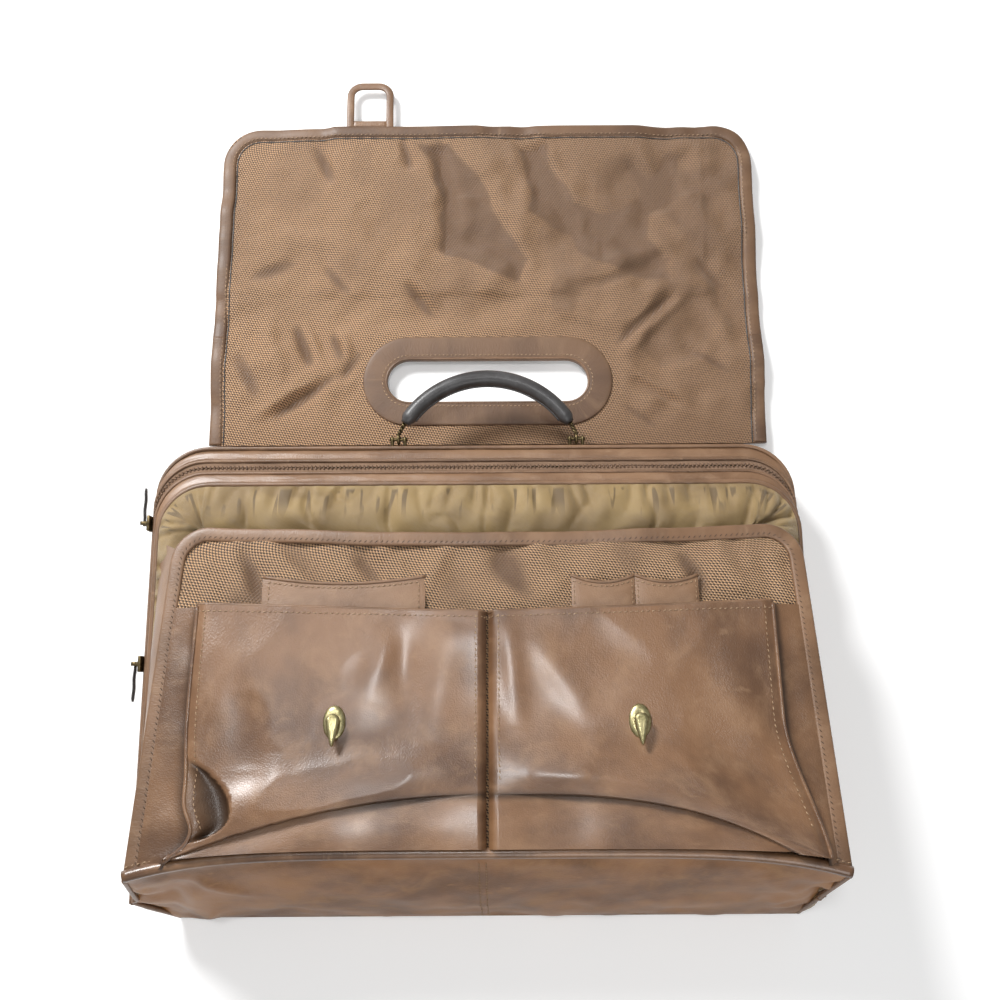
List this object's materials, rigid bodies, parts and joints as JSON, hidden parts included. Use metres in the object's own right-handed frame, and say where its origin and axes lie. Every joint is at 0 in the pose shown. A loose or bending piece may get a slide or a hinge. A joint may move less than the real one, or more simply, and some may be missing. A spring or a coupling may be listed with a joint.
{
  "type": "soft leather briefcase",
  "caption": "Flap-over leather briefcase lying open on its back, with zipped and front compartments, two outer pockets, turn locks and a carrying handle.",
  "frame": {"origin": "centre of the back panel's outer face, which the case lies on", "axes": "+X to the case's right seen from its front, +Y from its bottom to its top and on to the opened flap, +Z out of its front"},
  "size_m": [0.4641, 0.6469, 0.1213],
  "materials": {
    "leather": "polished cowhide, worn, with soft creases",
    "leather_trim": "folded leather binding and piping, stitched",
    "woven_nylon": "coarse two-tone nylon basket weave",
    "gold_nylon": "smooth gold-tan nylon lining",
    "zip_tape": "woven tape with coil teeth",
    "brass": "aged brass, slightly scratched",
    "grip_leather": "dark padded leather",
    "pull_leather": "dark lacquered metal",
    "board": "fibre board",
    "steel": "plain"
  },
  "bodies": {
    "rear_case": {"back_panel": "leather", "back_board": "board", "bottom_rear": "leather", "bottom_board": "board", "gusset_rear": "leather", "rim_strip_rear": "leather", "piping_rear": "leather_trim", "zip_tape_rear": "zip_tape", "handle_plate": "steel", "handle_anchors": "brass", "fold_strip": "leather"},
    "front_case": {"bottom_front": "leather", "partition": "gold_nylon", "rim_strip_front": "leather", "piping_front": "leather_trim", "zip_tape_front": "zip_tape", "gusset_front_left": "leather", "gusset_front_right": "leather"},
    "front_flap_panel": {"front_panel": "woven_nylon", "front_lining": "gold_nylon", "front_binding": "leather_trim", "bottom_piping": "leather_trim", "pocket_face_left": "leather", "pocket_face_right": "leather", "pocket_gusset_left": "leather", "pocket_gusset_right": "leather", "card_pocket_left": "leather", "card_pocket_right": "leather", "lock_base_left": "brass", "lock_base_right": "brass", "lock_back_left": "brass", "lock_back_right": "brass"},
    "lever_left": {"lock_lever_left": "brass"},
    "lever_right": {"lock_lever_right": "brass"},
    "flap_top": {"flap_top_leather": "leather", "flap_top_lining": "woven_nylon", "slot_patch": "leather_trim", "flap_top_binding": "leather_trim"},
    "flap_front": {"flap_front_leather": "leather", "flap_front_lining": "woven_nylon", "flap_front_binding": "leather_trim"},
    "loop_left": {"loop_left": "leather_trim"},
    "loop_right": {"loop_right": "leather_trim"},
    "handle": {"handle_grip": "grip_leather", "handle_core": "steel", "handle_links": "brass"},
    "slider_upper": {"zip_slider_upper": "brass"},
    "slider_lower": {"zip_slider_lower": "brass"},
    "pull_upper": {"zip_pull_upper": "pull_leather"},
    "pull_lower": {"zip_pull_lower": "pull_leather"}
  },
  "joints": [
    {"name": "case_open", "type": "hinge", "parent": "rear_case", "child": "front_case", "pos_m": [0, -0.15059, 0.049], "axis": [-1, 0, 0], "range_deg": [-25, 0]},
    {"name": "front_panel_open", "type": "hinge", "parent": "front_case", "child": "front_flap_panel", "pos_m": [0, -0.12595, 0.11073], "axis": [-1, 0, 0], "range_deg": [-12, 0]},
    {"name": "turn_lock_left", "type": "hinge", "parent": "front_flap_panel", "child": "lever_left", "pos_m": [-0.095, -0.03516, 0.10168], "axis": [0, 0.1351, 0.9908], "range_deg": [0, 90]},
    {"name": "turn_lock_right", "type": "hinge", "parent": "front_flap_panel", "child": "lever_right", "pos_m": [0.095, -0.03516, 0.10168], "axis": [0, 0.1351, 0.9908], "range_deg": [0, 90]},
    {"name": "flap_fold", "type": "hinge", "parent": "rear_case", "child": "flap_top", "pos_m": [0, 0.1741, 0.0055], "axis": [1, 0, 0], "range_deg": [0, 103]},
    {"name": "flap_bend", "type": "hinge", "parent": "flap_top", "child": "flap_front", "pos_m": [0, 0.26108, 0.0055], "axis": [1, 0, 0], "range_deg": [0, 69.33]},
    {"name": "loop_left_fold", "type": "hinge", "parent": "flap_front", "child": "loop_left", "pos_m": [-0.095, 0.43707, 0.0055], "axis": [1, 0, 0], "range_deg": [-180, 0]},
    {"name": "loop_right_fold", "type": "hinge", "parent": "flap_front", "child": "loop_right", "pos_m": [0.095, 0.43707, 0.0055], "axis": [1, 0, 0], "range_deg": [0, 180]},
    {"name": "handle_swing", "type": "hinge", "parent": "rear_case", "child": "handle", "pos_m": [0, 0.16534, 0.04213], "axis": [-1, 0, 0], "range_deg": [-130, 0]},
    {"name": "zip_slide_upper", "type": "slide", "parent": "rear_case", "child": "slider_upper", "axis": [0, 1, 0], "range_m": [-0.07, 0]},
    {"name": "zip_slide_lower", "type": "slide", "parent": "rear_case", "child": "slider_lower", "axis": [0, 1, 0], "range_m": [-0.12, 0]},
    {"name": "zip_pull_swing_upper", "type": "hinge", "parent": "slider_upper", "child": "pull_upper", "pos_m": [-0.24205, 0.103, 0.049], "axis": [0, 0, 1], "range_deg": [0, 165]},
    {"name": "zip_pull_swing_lower", "type": "hinge", "parent": "slider_lower", "child": "pull_lower", "pos_m": [-0.24205, 0.005, 0.049], "axis": [0, 0, -1], "range_deg": [0, 165]}
  ],
  "couplings": [
    {"joint": "flap_bend", "follows": "flap_fold", "ratio": 0.67218}
  ]
}
